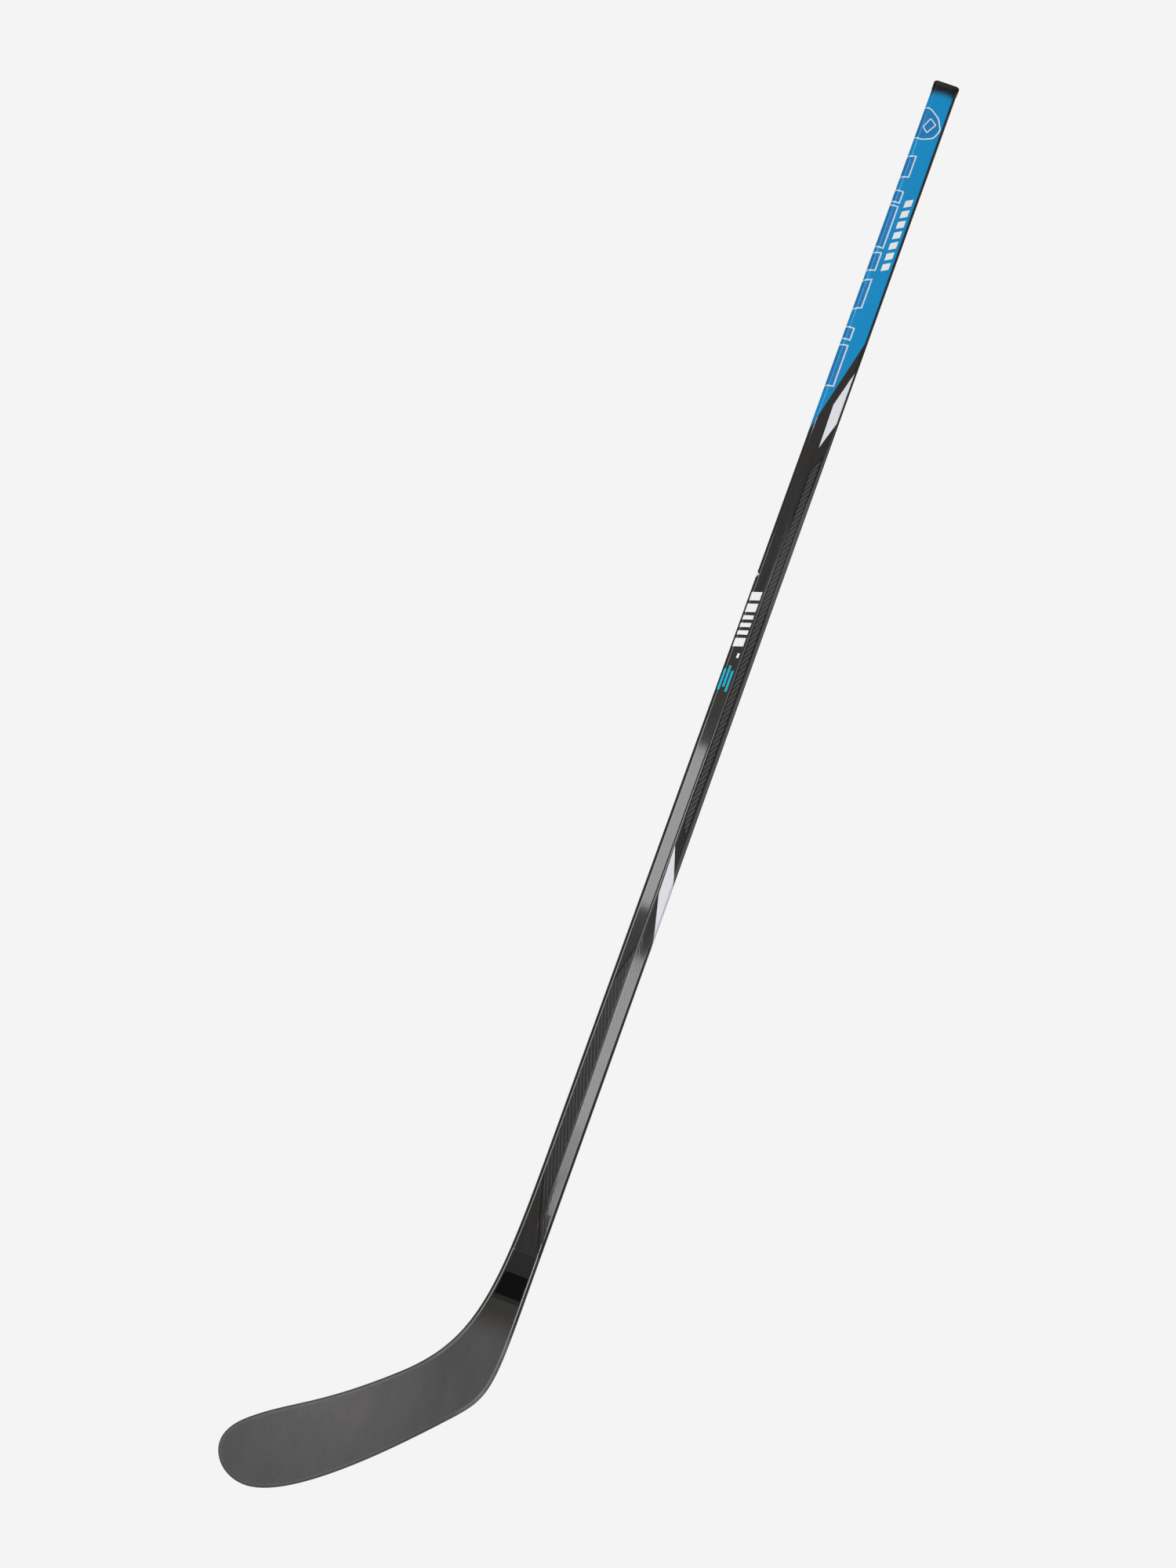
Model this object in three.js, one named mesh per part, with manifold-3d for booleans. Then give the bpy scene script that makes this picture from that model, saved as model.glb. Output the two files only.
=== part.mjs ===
// Ice hockey stick, senior size: a hollow laminate shaft with a moulded blade fused into its lower end.
//
// Frame, in millimetres: +Z runs up the shaft's centre line to the butt end, the wide front face looks
// towards -Y, and the blade points down towards -X. The origin is on the centre line at the top hand's grip.
// The blade bends towards its front face, so the stick is for a player who shoots right.

import * as THREE from 'three';
import { mergeVertices } from 'three/addons/utils/BufferGeometryUtils.js';
import Module from 'manifold-3d';

const wasm = await Module();
wasm.setup();

// Driving dimensions: the shaft
const BUTT_Z = 75;               // top of the end cap
const HEEL_Z = BUTT_Z - 1524;    // heel of a 60 inch stick
const SEAM_Z = -1316;            // where the tube ends and the blade's skins begin
const HALF_WIDTH = 14.6;
const THICK_TOP = 20;            // front to back, at the grip
const THICK_SEAM = 13.5;         // front to back, at the seam
const TAPER_START_Z = -780;      // the tube gets thinner below this
const CORNER_R = 4.2;
const WALL = 2;
const FACET_TILT = THREE.MathUtils.degToRad(9);    // slope of the two front facets at full height
const RIDGE_X = 1.5;             // the facets' ridge lies a little behind the centre line
const FACET_Z = [-400, -560, -1235, -1312];        // facets start, reach full tilt, start to fade, are flat

// Driving dimensions: the blade
const LIE = THREE.MathUtils.degToRad(41.5);        // the blade's length below the horizontal
const TOE_BEND = 38;             // how far the toe stands in front of the shaft's plane
const BEND_START = 20;           // distance from the heel where the bend starts
const BEND_LENGTH = 260;
const BEND_POWER = 1.9;
const TOE_OPEN = 0.1;            // twist that opens the face, as a slope at OPEN_LENGTH
const OPEN_LENGTH = 280;
const THICK_HEEL = 8.2;
const THICK_TOE = 5.8;
const SKIN = 0.9;
const EDGE_WIDTH = 4;            // how far the edge wrap reaches in from the outline

// Fits
const GAP = 0.3;                 // bond line between neighbouring pieces
const GLUE = 0.5;

// Mesh density
const HOSEL_STEPS = 12;          // ribs from the seam to the end of the heel curve
const BLADE_STEPS = 12;          // ribs from there to the toe
const LINE_STEPS = 3;            // of the hosel ribs, those that start on the straight back edge
const ACROSS = 8;                // cells from the lower to the upper edge
const CORNER_STEPS = 3;

// ---------------------------------------------------------------- small helpers

const lerp = THREE.MathUtils.lerp;
const smooth = THREE.MathUtils.smoothstep;
const point = (x, y, z) => new THREE.Vector3(x, y, z);

/** Turns positions and triangle indices into a geometry whose faces point out. */
function closedGeometry(positions, indices) {
  const geometry = new THREE.BufferGeometry();
  geometry.setAttribute('position', new THREE.Float32BufferAttribute(positions.flatMap((p) => p.toArray()), 3));
  const volume = new THREE.Vector3();
  let signed = 0;
  for (let k = 0; k < indices.length; k += 3) {
    const [a, b, c] = [0, 1, 2].map((n) => positions[indices[k + n]]);
    signed += a.dot(volume.crossVectors(b, c));
  }
  geometry.setIndex(signed > 0 ? indices : indices.toReversed());
  geometry.computeVertexNormals();
  return geometry;
}

/** The triangles between neighbouring rings of equal length, split the same way in every piece. */
function wall(rings, first = 0) {
  const count = rings[0].length;
  const indices = [];
  for (let i = 0; i + 1 < rings.length; i += 1) {
    for (let j = 0; j < count; j += 1) {
      const [a, b] = [j, (j + 1) % count].map((k) => first + i * count + k);
      indices.push(a, b, b + count, a, b + count, a + count);
    }
  }
  return indices;
}

/** Joins rings of equal length into a solid bar with a flat face at each end. */
function loft(rings) {
  const count = rings[0].length;
  const indices = wall(rings);
  const last = (rings.length - 1) * count;
  for (let j = 1; j + 1 < count; j += 1) {
    indices.push(0, j + 1, j, last, last + j, last + j + 1);
  }
  return closedGeometry(rings.flat(), indices);
}

/** Joins an outer and an inner stack of rings into a tube that is open at both ends. */
function tube(outer, inner) {
  const count = outer[0].length;
  const shift = outer.length * count;
  const indices = [...wall(outer), ...wall(inner, shift).toReversed()];
  const last = shift - count;
  for (let j = 0; j < count; j += 1) {
    const k = (j + 1) % count;
    indices.push(k, j, shift + j, k, shift + j, shift + k);
    indices.push(last + j, last + k, last + shift + k, last + j, last + shift + k, last + shift + j);
  }
  return closedGeometry([...outer, ...inner].flat(), indices);
}

/** Closes the space between two grids of points with the same layout. */
function slab(front, back) {
  const rows = front.length;
  const columns = front[0].length;
  const shift = rows * columns;
  const at = (i, j) => i * columns + j;
  const indices = [];
  for (let i = 0; i + 1 < rows; i += 1) {
    for (let j = 0; j + 1 < columns; j += 1) {
      const [a, b, c, d] = [at(i, j), at(i + 1, j), at(i + 1, j + 1), at(i, j + 1)];
      indices.push(a, b, c, a, c, d);
      indices.push(a + shift, c + shift, b + shift, a + shift, d + shift, c + shift);
    }
  }
  const rim = [];
  for (let i = 0; i < rows; i += 1) rim.push(at(i, 0));
  for (let j = 1; j < columns; j += 1) rim.push(at(rows - 1, j));
  for (let i = rows - 2; i >= 0; i -= 1) rim.push(at(i, columns - 1));
  for (let j = columns - 2; j > 0; j -= 1) rim.push(at(0, j));
  rim.forEach((a, k) => {
    const b = rim[(k + 1) % rim.length];
    indices.push(b, a, a + shift, b, a + shift, b + shift);
  });
  return closedGeometry([...front.flat(), ...back.flat()], indices);
}

/** A rounded rectangle centred on the shaft's axis. */
function roundedRectangle(halfX, halfY, radius) {
  const shape = new THREE.Shape();
  shape.moveTo(halfX, -halfY + radius);
  shape.absarc(halfX - radius, halfY - radius, radius, 0, Math.PI / 2);
  shape.absarc(-halfX + radius, halfY - radius, radius, Math.PI / 2, Math.PI);
  shape.absarc(-halfX + radius, -halfY + radius, radius, Math.PI, 1.5 * Math.PI);
  shape.absarc(halfX - radius, -halfY + radius, radius, 1.5 * Math.PI, 2 * Math.PI);
  return shape;
}

/** Extrudes a shape upwards from the height z. */
function block(shape, z, height, options = {}) {
  const geometry = new THREE.ExtrudeGeometry(shape, {
    depth: height, bevelEnabled: false, curveSegments: CORNER_STEPS, ...options,
  });
  return geometry.translate(0, 0, z);
}

/** A manifold-3d solid from a closed geometry. */
function toManifold(geometry) {
  const bare = geometry.clone();
  bare.deleteAttribute('normal');
  bare.deleteAttribute('uv');
  const merged = mergeVertices(bare, 1e-4);
  return new wasm.Manifold(new wasm.Mesh({
    numProp: 3,
    vertProperties: new Float32Array(merged.attributes.position.array),
    triVerts: new Uint32Array(merged.index.array),
  }));
}

function fromManifold(solid) {
  const mesh = solid.getMesh();
  const geometry = new THREE.BufferGeometry();
  geometry.setAttribute('position', new THREE.BufferAttribute(new Float32Array(mesh.vertProperties), 3));
  geometry.setIndex(new THREE.BufferAttribute(new Uint32Array(mesh.triVerts), 1));
  geometry.computeVertexNormals();
  return geometry;
}

// ---------------------------------------------------------------- the blade's outline

const along = new THREE.Vector2(-Math.cos(LIE), -Math.sin(LIE));    // heel to toe, in the XZ plane
const across = new THREE.Vector2(-Math.sin(LIE), Math.cos(LIE));    // lower edge to upper edge
const heel = new THREE.Vector2(HALF_WIDTH, HEEL_Z);

/** A point of the blade from its distance along the blade and its height above the heel. */
function bladePoint(u, v) {
  return heel.clone().addScaledVector(along, u).addScaledVector(across, v);
}

/** A point of the outline with the direction it is passed in and the handles before and after it. */
function knot(u, v, degrees, before, after) {
  const angle = THREE.MathUtils.degToRad(degrees);
  const place = bladePoint(u, v);
  const way = along.clone().multiplyScalar(Math.cos(angle)).addScaledVector(across, Math.sin(angle));
  return {
    place,
    before: place.clone().addScaledVector(way, -before),
    after: place.clone().addScaledVector(way, after),
  };
}

const bezier = (from, to) => new THREE.CubicBezierCurve(from.place, from.after, to.before, to.place);

// Round the blade from the back edge of the hosel: heel, sole, toe and upper edge, then up the throat.
const backEdgeEnd = {
  place: new THREE.Vector2(HALF_WIDTH, HEEL_Z + 87),
  after: new THREE.Vector2(HALF_WIDTH, HEEL_Z),
};
const heelEnd = knot(46, -9.4, -5, 38, 47);
const soleEnd = knot(244, 4.5, 34, 48.5, 16.5);
const toeTip = knot(262.8, 41.5, 97, 13, 21);
const topStart = knot(228, 64.7, 181.5, 12.8, 42.5);
const throatEnd = knot(77.5, 50, 180, 86.5, 80);
const flareStart = {
  place: new THREE.Vector2(-HALF_WIDTH, HEEL_Z + 260),
  before: new THREE.Vector2(-HALF_WIDTH, HEEL_Z + 92),
};

const heelCurve = bezier(backEdgeEnd, heelEnd);
const soleCurve = bezier(heelEnd, soleEnd);
const toeCurves = [bezier(soleEnd, toeTip), bezier(toeTip, topStart)];
const topCurve = bezier(topStart, throatEnd);
const throatCurve = bezier(throatEnd, flareStart);

/** The front edge of the shaft at height z: straight, then flaring into the throat. */
function frontEdgeX(z) {
  if (z > flareStart.place.y) return -HALF_WIDTH;
  let [low, high] = [0, 1];
  for (let step = 0; step < 40; step += 1) {
    const middle = (low + high) / 2;
    if (throatCurve.getPoint(middle).y < z) low = middle;
    else high = middle;
  }
  return throatCurve.getPoint(low).x;
}

/** Points of a curve at equal steps of length, counted from the curve's start. */
function spaced(points, count) {
  const path = new THREE.CurvePath();
  points.slice(1).forEach((p, k) => path.add(new THREE.LineCurve(points[k], p)));
  return path.getSpacedPoints(count);
}

function outline() {
  const backEdge = Array.from({ length: LINE_STEPS }, (_, k) => (
    new THREE.Vector2(HALF_WIDTH, lerp(SEAM_Z, backEdgeEnd.place.y, k / LINE_STEPS))));
  const throat = throatCurve.getPoints(200).filter((p) => p.y < SEAM_Z).toReversed();
  const seamFront = new THREE.Vector2(frontEdgeX(SEAM_Z), SEAM_Z);
  const lower = [
    ...backEdge,
    ...heelCurve.getSpacedPoints(HOSEL_STEPS - LINE_STEPS).slice(0, -1),
    ...soleCurve.getSpacedPoints(BLADE_STEPS),
  ];
  const upper = [
    ...spaced([seamFront, ...throat], HOSEL_STEPS).slice(0, -1),
    ...topCurve.getSpacedPoints(BLADE_STEPS).toReversed(),
  ];
  const nose = spaced(toeCurves.flatMap((curve) => curve.getPoints(40)), ACROSS);
  return [...lower, ...nose.slice(1, -1), ...upper.toReversed()];
}

const RIBS = HOSEL_STEPS + BLADE_STEPS;

/** The outline moved in by a distance. */
function insetOutline(path, distance) {
  return path.map((p, k) => {
    const before = path[Math.max(k - 1, 0)];
    const after = path[Math.min(k + 1, path.length - 1)];
    const way = after.clone().sub(before).normalize();
    return new THREE.Vector2(p.x + way.y * distance, p.y - way.x * distance);
  });
}

// ---------------------------------------------------------------- the blade's surfaces

/** How far the middle of the blade stands from the shaft's plane. */
function middleY(p) {
  const offset = p.clone().sub(heel);
  const u = offset.dot(along);
  const v = offset.dot(across);
  const bend = Math.max(0, (u - BEND_START) / BEND_LENGTH) ** BEND_POWER;
  return TOE_OPEN * Math.max(0, u / OPEN_LENGTH) * v - TOE_BEND * bend;
}

/** Half the blade's thickness at a rib, which may lie between two whole ones. */
function halfThickness(rib) {
  const share = rib / RIBS;
  const hosel = smooth(share, 0, 0.42);
  return 0.5 * lerp(lerp(THICK_SEAM, THICK_HEEL, hosel), THICK_TOE, smooth(share, 0.35, 1));
}

/** Half the thickness left at a distance from the outline, inside the rounded edge. */
function roundedHalf(rib, distance) {
  const half = halfThickness(rib);
  const radius = edgeRadius(rib);
  const run = Math.min(distance, radius);
  return half - radius + Math.sqrt(radius ** 2 - (radius - run) ** 2);
}

const edgeRadius = (rib) => Math.min(CORNER_R, 0.8 * halfThickness(rib));

const border = outline();

/** The rib that a point of the outline belongs to. */
function ribOf(k) {
  if (k <= RIBS) return k;
  return Math.min(RIBS, border.length - 1 - k);
}

/** The point of the blade's plan at a rib and a share of the way up it, inside an inset outline. */
function planPoint(path, rib, share) {
  const corner = (k, s) => {
    const low = path[k];
    const high = path[path.length - 1 - k];
    const nose = path[RIBS + Math.round(s * ACROSS)];
    const straight = low.clone().lerp(high, s);
    const bow = Math.max(0, (k - HOSEL_STEPS) / BLADE_STEPS) ** 2;
    const noseLine = path[RIBS].clone().lerp(path[RIBS + ACROSS], Math.round(s * ACROSS) / ACROSS);
    return straight.add(nose.clone().sub(noseLine).multiplyScalar(bow));
  };
  const between = (k) => {
    const [j, rest] = [Math.floor(share * ACROSS + 1e-9), share * ACROSS - Math.floor(share * ACROSS + 1e-9)];
    if (rest < 1e-9) return corner(k, share);
    return corner(k, j / ACROSS).lerp(corner(k, (j + 1) / ACROSS), rest);
  };
  const whole = Math.min(Math.floor(rib), RIBS - 1);
  return between(whole).lerp(between(whole + 1), rib - whole);
}

/** Whole steps between two numbers, with the numbers themselves at the ends. */
function steps(from, to) {
  const list = [from];
  for (let k = Math.floor(from) + 1; k < to - 1e-6; k += 1) list.push(k);
  return [...list, to];
}

/** A sheet of points over part of the blade, at a height between the back (1) and front (-1) faces. */
function sheet(path, ribs, shares, side, depth) {
  return ribs.map((rib) => shares.map((share) => {
    const p = planPoint(path, rib, share);
    return point(p.x, middleY(p) + side * (halfThickness(rib) - depth), p.y);
  }));
}

/** A solid that fills part of the blade between two depths below its faces. */
function bladeSlab(inset, ribRange, shareRange, [frontSide, frontDepth], [backSide, backDepth]) {
  const path = insetOutline(border, inset);
  const ribs = steps(...ribRange);
  const shares = steps(...shareRange.map((s) => s * ACROSS)).map((s) => s / ACROSS);
  return slab(sheet(path, ribs, shares, frontSide, frontDepth), sheet(path, ribs, shares, backSide, backDepth));
}

// ---------------------------------------------------------------- the shaft's section

function facetTilt(z) {
  const [start, full, fade, flat] = FACET_Z;
  return FACET_TILT * smooth(-z, -start, -full) * (1 - smooth(-z, -fade, -flat));
}

/** Half the shaft's size front to back at height z. */
function shaftHalf(z) {
  return 0.5 * lerp(THICK_TOP, THICK_SEAM, smooth(-z, -TAPER_START_Z, -SEAM_Z));
}

/** The shaft's section at one of the stations, moved in from the surface by a distance. */
function stationSection(z, inset) {
  const tilt = facetTilt(z);
  const radius = Math.max(CORNER_R - inset, 0.6);
  const half = shaftHalf(z) - inset;
  const sides = { left: frontEdgeX(z) + inset, right: HALF_WIDTH - inset };
  const ring = [];
  const corner = (cx, cy, from, to) => {
    for (let k = 0; k <= CORNER_STEPS; k += 1) {
      const angle = lerp(from, to, k / CORNER_STEPS);
      ring.push(point(cx + radius * Math.cos(angle), cy + radius * Math.sin(angle), z));
    }
  };
  const frontCentreY = (centreX) => {
    const reach = Math.abs(centreX - RIDGE_X) + radius * Math.sin(tilt);
    return -half + reach * Math.tan(tilt) + radius * Math.cos(tilt);
  };
  const [leftX, rightX] = [sides.left + radius, sides.right - radius];
  corner(leftX, frontCentreY(leftX), Math.PI, 1.5 * Math.PI - tilt);
  ring.push(point(RIDGE_X, -half, z));
  corner(rightX, frontCentreY(rightX), 1.5 * Math.PI + tilt, 2 * Math.PI);
  corner(rightX, half - radius, 0, 0.5 * Math.PI);
  corner(leftX, half - radius, 0.5 * Math.PI, Math.PI);
  return ring;
}

// Heights, from the top down, that follow the shaft's changes of section.
const STATIONS = [
  BUTT_Z, FACET_Z[0], -480, FACET_Z[1], TAPER_START_Z, -900, -1000, -1100, -1170,
  FACET_Z[2], -1275, -1295, SEAM_Z,
];

/** The shaft's section at any height, moved in from the surface by a distance. */
function section(z, inset = 0) {
  const below = Math.max(1, STATIONS.findIndex((height) => height <= z));
  const [upper, lower] = [STATIONS[below - 1], STATIONS[below]];
  const share = (upper - z) / (upper - lower);
  const end = stationSection(lower, inset);
  return stationSection(upper, inset).map((p, k) => p.lerp(end[k], share));
}

/** The stations between two heights, with the heights themselves at the ends. */
function stations(top, bottom) {
  return [top, ...STATIONS.filter((z) => z < top - 1 && z > bottom + 1), bottom];
}

const bar = (top, bottom, inset) => loft(stations(top, bottom).map((z) => section(z, inset)));

function sleeve(top, bottom, outerInset, innerInset) {
  const heights = stations(top, bottom);
  return tube(heights.map((z) => section(z, outerInset)), heights.map((z) => section(z, innerInset)));
}

// ---------------------------------------------------------------- the pieces

const FLANGE = 6;                // height of the cap's flange
const FLANGE_PROUD = 0.6;
const STUB_LENGTH = 40;
const TUBE_TOP = BUTT_Z - FLANGE - GAP;
const STUB_INSET = WALL + 2 * GAP + GLUE;
const CAP_RIBS = [62, 56, 50];   // heights of the ribs that centre the stub in the tube
const CAP_RIB_HEIGHT = 1.5;
const TENON_TOP = SEAM_Z + 90;
const TENON_STEP_RIB = 0.2;      // just below the seam the tenon widens to fill the space between the skins
const TENON_END_RIB = 4;
const CORE_START_RIB = 10;
const TOE_START_RIB = RIBS - 2;
const CORE_DEPTH = SKIN + GAP;
const PATCH_THICK = 0.3;

function shaftTube() {
  return sleeve(TUBE_TOP, SEAM_Z + GAP, 0, WALL);
}

/** A rounded rectangle that follows the grip's section, moved in by a distance. */
function gripShape(inset) {
  return roundedRectangle(HALF_WIDTH - inset, THICK_TOP / 2 - inset, Math.max(CORNER_R - inset, 0.6));
}

function endCap() {
  const bevel = 1.5;
  const flange = block(gripShape(bevel - FLANGE_PROUD), BUTT_Z - FLANGE + bevel, FLANGE - 2 * bevel, {
    bevelEnabled: true, bevelThickness: bevel, bevelSize: bevel, bevelSegments: 2,
  });
  const stub = block(gripShape(STUB_INSET), BUTT_Z - FLANGE - STUB_LENGTH, STUB_LENGTH + bevel);
  const pocket = block(gripShape(STUB_INSET + 1.8), BUTT_Z - FLANGE - STUB_LENGTH - 1, STUB_LENGTH - 1);
  let solid = toManifold(flange).add(toManifold(stub));
  for (const z of CAP_RIBS) {
    solid = solid.add(toManifold(block(gripShape(WALL + GAP), z, CAP_RIB_HEIGHT)));
  }
  return fromManifold(solid.subtract(toManifold(pocket)));
}

function capGlueSleeve() {
  const shape = gripShape(WALL + GAP);
  shape.holes.push(new THREE.Path(gripShape(WALL + GAP + GLUE).getPoints(CORNER_STEPS).toReversed()));
  return block(shape, BUTT_Z - FLANGE - STUB_LENGTH + 2, 16);
}

const buttFoamPlug = () => block(gripShape(WALL + GAP), -22, 50);

const hoselFoamPlug = () => bar(TENON_TOP + 45, TENON_TOP + 5, WALL + GAP);

const tenonGlueSleeve = () => sleeve(TENON_TOP - 4, SEAM_Z + 4, WALL + GAP, WALL + GAP + GLUE);

/** One ring of the tenon below the seam, with the same layout as a ring of the shaft's section. */
function tenonRing(rib) {
  const path = insetOutline(border, EDGE_WIDTH + GAP);
  const reach = halfThickness(rib) - CORE_DEPTH;
  const shares = [0, 1];
  const [low, high] = shares.map((share) => planPoint(path, rib, share));
  const ringPoint = (p, y) => point(p.x, middleY(p) + y, p.y);
  const mix = (s) => high.clone().lerp(low, s);
  return [ringPoint(mix(0), reach), ringPoint(mix(0), -reach), ringPoint(mix(0.5), -reach),
    ringPoint(mix(1), -reach), ringPoint(mix(1), reach), ringPoint(mix(0.5), reach)];
}

/** One ring of the tenon inside the tube: a plain rectangle that clears the facets and the edge wrap. */
function tenonRingInTube(z) {
  const inset = WALL + 2 * GAP + GLUE;
  const sideInset = EDGE_WIDTH + GAP;
  const [left, right] = [frontEdgeX(z) + sideInset, HALF_WIDTH - sideInset];
  const reach = shaftHalf(z) - inset - (right + RIDGE_X) * Math.tan(facetTilt(z));
  const back = shaftHalf(z) - inset;
  return [point(left, back, z), point(left, -reach, z), point(0, -reach, z),
    point(right, -reach, z), point(right, back, z), point(0, back, z)];
}

function bladeTenon() {
  const inTube = stations(TENON_TOP, SEAM_Z).map(tenonRingInTube);
  const inBlade = steps(TENON_STEP_RIB, TENON_END_RIB).map(tenonRing);
  return loft([...inTube, ...inBlade]);
}

const hoselCore = () => bladeSlab(
  EDGE_WIDTH + GAP, [TENON_END_RIB + 0.04, CORE_START_RIB], [0, 1], [-1, CORE_DEPTH], [1, CORE_DEPTH],
);

const bladeCore = (from, to) => bladeSlab(
  EDGE_WIDTH + GAP, [CORE_START_RIB + 0.04, TOE_START_RIB], [from, to], [-1, CORE_DEPTH], [1, CORE_DEPTH],
);

const toeInsert = () => bladeSlab(
  EDGE_WIDTH + GAP, [TOE_START_RIB + 0.04, RIBS], [0, 1], [-1, CORE_DEPTH], [1, CORE_DEPTH],
);

const bladeSkin = (side) => bladeSlab(EDGE_WIDTH + GAP, [0, RIBS], [0, 1], [side, 0], [side, SKIN]);

/** The edge braid: a strip with a rounded outer side that follows the outline. */
function bladeEdgeWrap() {
  return loft(border.map((_, k) => {
    const rib = ribOf(k);
    const depths = [0, 0.12 * edgeRadius(rib), 0.9 * edgeRadius(rib), EDGE_WIDTH];
    const face = (side) => depths.map((depth) => {
      const p = insetOutline(border, depth)[k];
      return point(p.x, middleY(p) + side * roundedHalf(rib, depth), p.y);
    });
    return [...face(-1).toReversed(), ...face(1)];
  }));
}

/** The matte label that lies on the front skin just above the blade. */
function hoselPatch() {
  return bladeSlab(EDGE_WIDTH + 1.2, [1.5, 3], [0, 1], [-1, -GAP - PATCH_THICK], [-1, -GAP]);
}

// ---------------------------------------------------------------- the stick

const finishes = {
  laminate: { color: 0x2f2e2e, roughness: 0.3, metalness: 0 },
  blade: { color: 0x4c4b4a, roughness: 0.55, metalness: 0 },
  edge: { color: 0x5c5b5a, roughness: 0.5, metalness: 0 },
  cap: { color: 0x232324, roughness: 0.5, metalness: 0 },
  patch: { color: 0x111112, roughness: 0.8, metalness: 0 },
  foam: { color: 0xd8d2bf, roughness: 0.9, metalness: 0 },
  glue: { color: 0xc9a15a, roughness: 0.4, metalness: 0 },
  core: { color: 0x3a3a3c, roughness: 0.6, metalness: 0 },
};

const pieces = [
  ['shaft_tube', shaftTube(), 'laminate'],
  ['end_cap', endCap(), 'cap'],
  ['cap_glue_sleeve', capGlueSleeve(), 'glue'],
  ['butt_foam_plug', buttFoamPlug(), 'foam'],
  ['hosel_foam_plug', hoselFoamPlug(), 'foam'],
  ['tenon_glue_sleeve', tenonGlueSleeve(), 'glue'],
  ['blade_tenon', bladeTenon(), 'core'],
  ['hosel_core', hoselCore(), 'core'],
  ['blade_lower_core', bladeCore(0, 0.46), 'foam'],
  ['blade_centre_rib', bladeCore(0.47, 0.53), 'core'],
  ['blade_upper_core', bladeCore(0.54, 1), 'foam'],
  ['toe_insert', toeInsert(), 'core'],
  ['blade_front_skin', bladeSkin(-1), 'blade'],
  ['blade_back_skin', bladeSkin(1), 'blade'],
  ['blade_edge_wrap', bladeEdgeWrap(), 'edge'],
  ['hosel_patch', hoselPatch(), 'patch'],
];

const stick = new THREE.Group();
for (const [name, geometry, finish] of pieces) {
  const mesh = new THREE.Mesh(geometry, new THREE.MeshStandardMaterial(finishes[finish]));
  mesh.name = name;
  stick.add(mesh);
}

export default stick;
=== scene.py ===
"""Ice hockey stick: the looks of a hollow laminate shaft with a moulded blade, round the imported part.

+Z runs up the shaft to the butt end, the wide front face looks towards -Y and the blade points down
towards -X. Shapes are worked out in millimetres and made in metres. The shaft is one fine loft, and its
painted marks are thin closed inlays that follow its surface.
"""

import math
from functools import lru_cache

import bpy
from mathutils import Matrix, Vector
from mathutils.geometry import delaunay_2d_cdt


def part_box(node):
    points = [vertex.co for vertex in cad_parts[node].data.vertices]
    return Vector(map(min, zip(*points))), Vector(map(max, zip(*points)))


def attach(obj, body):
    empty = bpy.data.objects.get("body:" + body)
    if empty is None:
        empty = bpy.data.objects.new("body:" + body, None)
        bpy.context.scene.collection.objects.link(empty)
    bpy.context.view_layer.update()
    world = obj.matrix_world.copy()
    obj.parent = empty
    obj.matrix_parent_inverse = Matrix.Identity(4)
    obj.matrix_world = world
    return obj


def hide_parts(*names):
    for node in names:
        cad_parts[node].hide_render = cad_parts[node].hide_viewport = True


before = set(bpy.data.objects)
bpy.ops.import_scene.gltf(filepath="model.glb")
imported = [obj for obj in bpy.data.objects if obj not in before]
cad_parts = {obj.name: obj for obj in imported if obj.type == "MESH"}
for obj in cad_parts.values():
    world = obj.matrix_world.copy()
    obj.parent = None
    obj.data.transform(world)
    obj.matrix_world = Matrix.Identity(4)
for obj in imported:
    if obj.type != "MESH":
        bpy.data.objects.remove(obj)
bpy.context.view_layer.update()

MM = 0.001
BODY = "root"

# -------------------- driving dimensions, in millimetres

TUBE_LOW, TUBE_HIGH = (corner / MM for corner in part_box("shaft_tube"))
CAP_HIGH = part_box("end_cap")[1] / MM
BUTT_Z = CAP_HIGH.z
TUBE_TOP = TUBE_HIGH.z
TUBE_BOTTOM = TUBE_LOW.z
HALF_WIDTH = TUBE_HIGH.x
HALF_THICK = TUBE_HIGH.y
CAP_PROUD = CAP_HIGH.x - HALF_WIDTH
GAP = 0.3  # bond line between neighbouring pieces
SEAM_Z = TUBE_BOTTOM - GAP
HEEL_Z = BUTT_Z - 1524  # a 60 inch stick
THICK_SEAM = 13.5  # front to back, where the blade's skins begin
TAPER_START_Z = -780
CORNER_R = 4.2
WALL = 2
FACET_TILT = math.radians(9)
FACET_Z = (400, 560, 1235, 1312)  # depths: facets start, full tilt, start to fade, flat
RIDGE_TOP_X = -0.6  # the facets' ridge, down to RIDGE_TURN
RIDGE_LOW_X = 1.6
RIDGE_TURN = (980, 1240)

LIE = math.radians(41.5)
TOE_BEND = 38
BEND_START = 20
BEND_LENGTH = 260
BEND_POWER = 1.9
TOE_OPEN = 0.1
OPEN_LENGTH = 280
THICK_HEEL = 8.2
THICK_TOE = 5.8
SKIN = 0.9
EDGE_WIDTH = 4

# Mesh density
ROW = 8  # height of the shaft's rows
ARC_STEPS = 8
HOSEL_STEPS = 36
BLADE_STEPS = 36
LINE_STEPS = 9  # of the hosel steps, those on the straight back edge
ACROSS = 24
RIBS = HOSEL_STEPS + BLADE_STEPS
SHARP_ANGLE = math.radians(40)

# -------------------- small helpers


def mix(a, b, share):
    return a + (b - a) * share


def smooth(value, low, high):
    t = min(1, max(0, (value - low) / (high - low)))
    return t * t * (3 - 2 * t)


def spread(start, end, count):
    """Equal steps from start to end, both included."""
    return [mix(start, end, k / count) for k in range(count + 1)]


def around(items):
    """Each item with the next, and the last with the first."""
    return zip(items, items[1:] + items[:1])


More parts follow.
